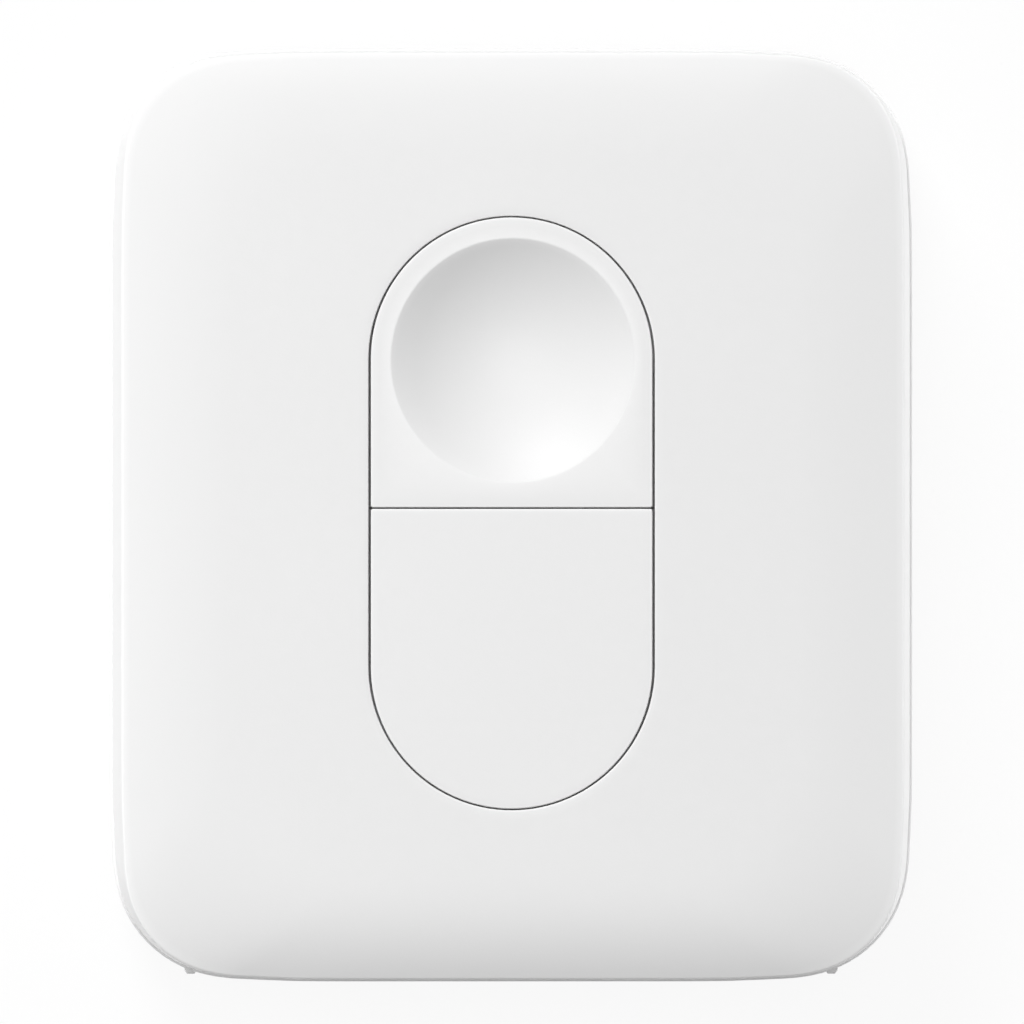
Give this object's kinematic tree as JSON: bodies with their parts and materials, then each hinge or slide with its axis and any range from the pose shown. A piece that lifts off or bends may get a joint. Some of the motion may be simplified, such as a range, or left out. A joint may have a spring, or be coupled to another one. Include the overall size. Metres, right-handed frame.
{
  "type": "bluetooth remote control",
  "caption": "Pocket wireless remote with a pillow-faced white housing and a stadium-shaped pair of flush keys, the upper one dimpled, over a coin-cell tray.",
  "frame": {"origin": "centre of the rear face, which the part rests on", "axes": "+Z out of the face with the keys, +Y towards the dimpled key, +X to the right seen from the front"},
  "size_m": [0.037, 0.043, 0.012],
  "materials": {
    "housing_white": "matte",
    "key_white": "matte",
    "tray_grey": "matte",
    "board_green": "satin",
    "silicone_grey": "matte",
    "cell_steel": "satin",
    "spring_steel": "satin",
    "screw_steel": "satin",
    "switch_black": "matte",
    "chip_black": "satin",
    "ceramic_tan": "matte",
    "led_clear": "gloss",
    "seal_plastic": "satin",
    "cathode_pressed": "matte",
    "separator_paper": "matte",
    "anode_metal": "satin",
    "foam_dark": "matte"
  },
  "bodies": {
    "back": {"rear_cover": "housing_white", "cell_cushion": "foam_dark"},
    "housing": {"front_housing": "housing_white", "silicone_keypad": "silicone_grey", "circuit_board": "board_green", "upper_switch_base": "switch_black", "upper_switch_dome": "spring_steel", "upper_switch_plate": "spring_steel", "lower_switch_base": "switch_black", "lower_switch_dome": "spring_steel", "lower_switch_plate": "spring_steel", "pairing_switch_base": "switch_black", "pairing_switch_dome": "spring_steel", "pairing_switch_plate": "spring_steel", "radio_chip": "chip_black", "crystal": "cell_steel", "chip_capacitors": "ceramic_tan", "chip_antenna": "ceramic_tan", "status_led": "led_clear", "positive_contact": "spring_steel", "negative_contact": "spring_steel", "battery_tray": "tray_grey", "tray_screws": "screw_steel"},
    "upper_key": {"upper_button": "key_white", "upper_switch_plunger": "switch_black"},
    "lower_key": {"lower_button": "key_white", "lower_switch_plunger": "switch_black"},
    "pairing_pin": {"pairing_button": "housing_white", "pairing_switch_plunger": "switch_black"},
    "coin_cell": {"cell_can": "cell_steel", "cell_cap": "cell_steel", "cell_gasket": "seal_plastic", "cell_cathode": "cathode_pressed", "cell_separator": "separator_paper", "cell_anode": "anode_metal"}
  },
  "joints": [
    {"name": "upper_key_press", "type": "slide", "parent": "housing", "child": "upper_key", "axis": [0, 0, -1], "range_m": [0, 0.00025], "stiffness_N_per_m": 300, "springref_m": -0.004, "deforming": ["upper_switch_dome", "silicone_keypad"]},
    {"name": "lower_key_press", "type": "slide", "parent": "housing", "child": "lower_key", "axis": [0, 0, -1], "range_m": [0, 0.00025], "stiffness_N_per_m": 300, "springref_m": -0.004, "deforming": ["lower_switch_dome", "silicone_keypad"]},
    {"name": "pairing_press", "type": "slide", "parent": "housing", "child": "pairing_pin", "axis": [0, 0, 1], "range_m": [0, 0.0002], "stiffness_N_per_m": 300, "springref_m": -0.004, "deforming": ["pairing_switch_dome"]},
    {"name": "housing_lift", "type": "slide", "parent": "back", "child": "housing", "axis": [0, 0, 1], "range_m": [0, 0.018]},
    {"name": "cell_drop", "type": "slide", "parent": "housing", "child": "coin_cell", "axis": [0, 0, -1], "range_m": [0, 0.009]}
  ],
  "couplings": [
    {"joint": "cell_drop", "follows": "housing_lift", "ratio": 0.5}
  ]
}
